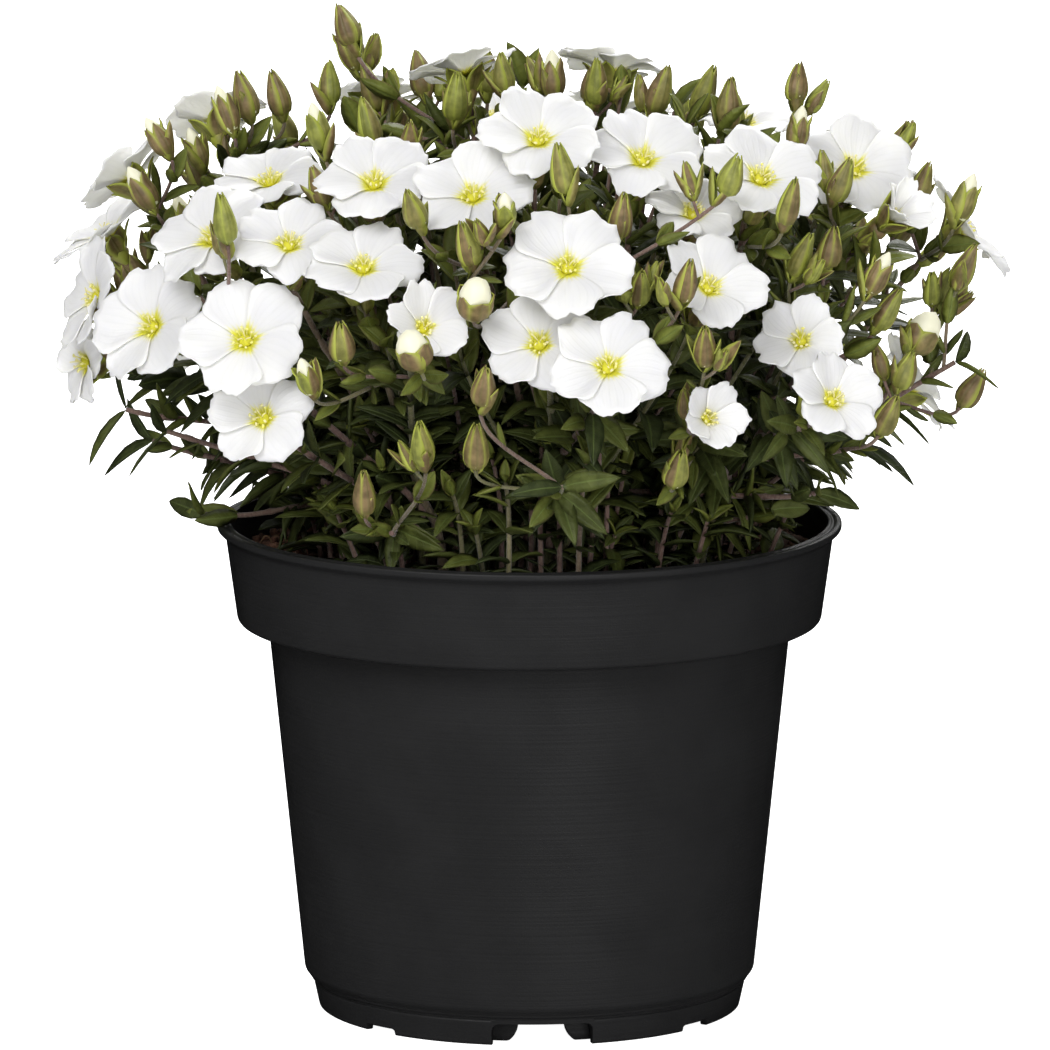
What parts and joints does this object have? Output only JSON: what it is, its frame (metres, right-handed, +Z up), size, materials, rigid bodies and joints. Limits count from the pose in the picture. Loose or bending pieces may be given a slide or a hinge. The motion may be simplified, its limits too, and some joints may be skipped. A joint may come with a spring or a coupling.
{
  "type": "potted flowering plant",
  "caption": "Potted mountain sandwort: low dome of white five-petalled blooms, buds and narrow leaves in a round black nursery pot with a banded rim.",
  "frame": {"origin": "middle of the circle that the pot's foot stands on", "axes": "+Z up along the pot's axis, +X to the right and -Y towards the viewer of the picture, on the side of the foot's deep notch"},
  "size_m": [0.1843, 0.1788, 0.1922],
  "materials": {
    "pot": "black, satin, finely ribbed by the mould",
    "soil": "matt, fibrous reddish-brown peat",
    "foliage": "matt to satin green leaves on purple-brown stems",
    "bloom": "matt white with a pale yellow throat"
  },
  "bodies": {
    "root": {"pot": "pot", "soil": "soil", "leafy_stem_01": "foliage", "leafy_stem_02": "foliage", "leafy_stem_03": "foliage", "leafy_stem_04": "foliage", "leafy_stem_05": "foliage", "leafy_stem_06": "foliage", "leafy_stem_07": "foliage", "leafy_stem_08": "foliage", "leafy_stem_09": "foliage", "leafy_stem_10": "foliage", "leafy_stem_11": "foliage", "leafy_stem_12": "foliage", "leafy_stem_13": "foliage", "leafy_stem_14": "foliage", "bloom_01": "bloom", "bloom_02": "bloom", "bloom_03": "bloom", "bloom_04": "bloom", "bloom_05": "bloom", "bloom_06": "bloom", "bloom_07": "bloom", "bloom_08": "bloom", "bloom_09": "bloom", "bloom_10": "bloom", "bloom_11": "bloom", "bloom_12": "bloom", "bloom_13": "bloom", "bloom_14": "bloom", "bloom_15": "bloom", "bloom_16": "bloom", "bloom_17": "bloom", "bloom_18": "bloom", "bloom_19": "bloom", "bloom_20": "bloom", "bloom_21": "bloom", "bloom_22": "bloom", "bloom_23": "bloom", "bloom_24": "bloom", "bloom_25": "bloom", "bloom_26": "bloom", "bloom_27": "bloom", "bloom_28": "bloom", "bloom_29": "bloom", "bloom_30": "bloom", "bloom_31": "bloom", "bloom_32": "bloom", "bloom_33": "bloom", "bloom_34": "bloom", "bloom_35": "bloom", "bloom_36": "bloom", "bloom_37": "bloom", "bloom_38": "bloom", "bloom_39": "bloom", "bloom_40": "bloom", "bloom_41": "bloom", "bloom_42": "bloom", "bloom_43": "bloom"}
  },
  "joints": []
}
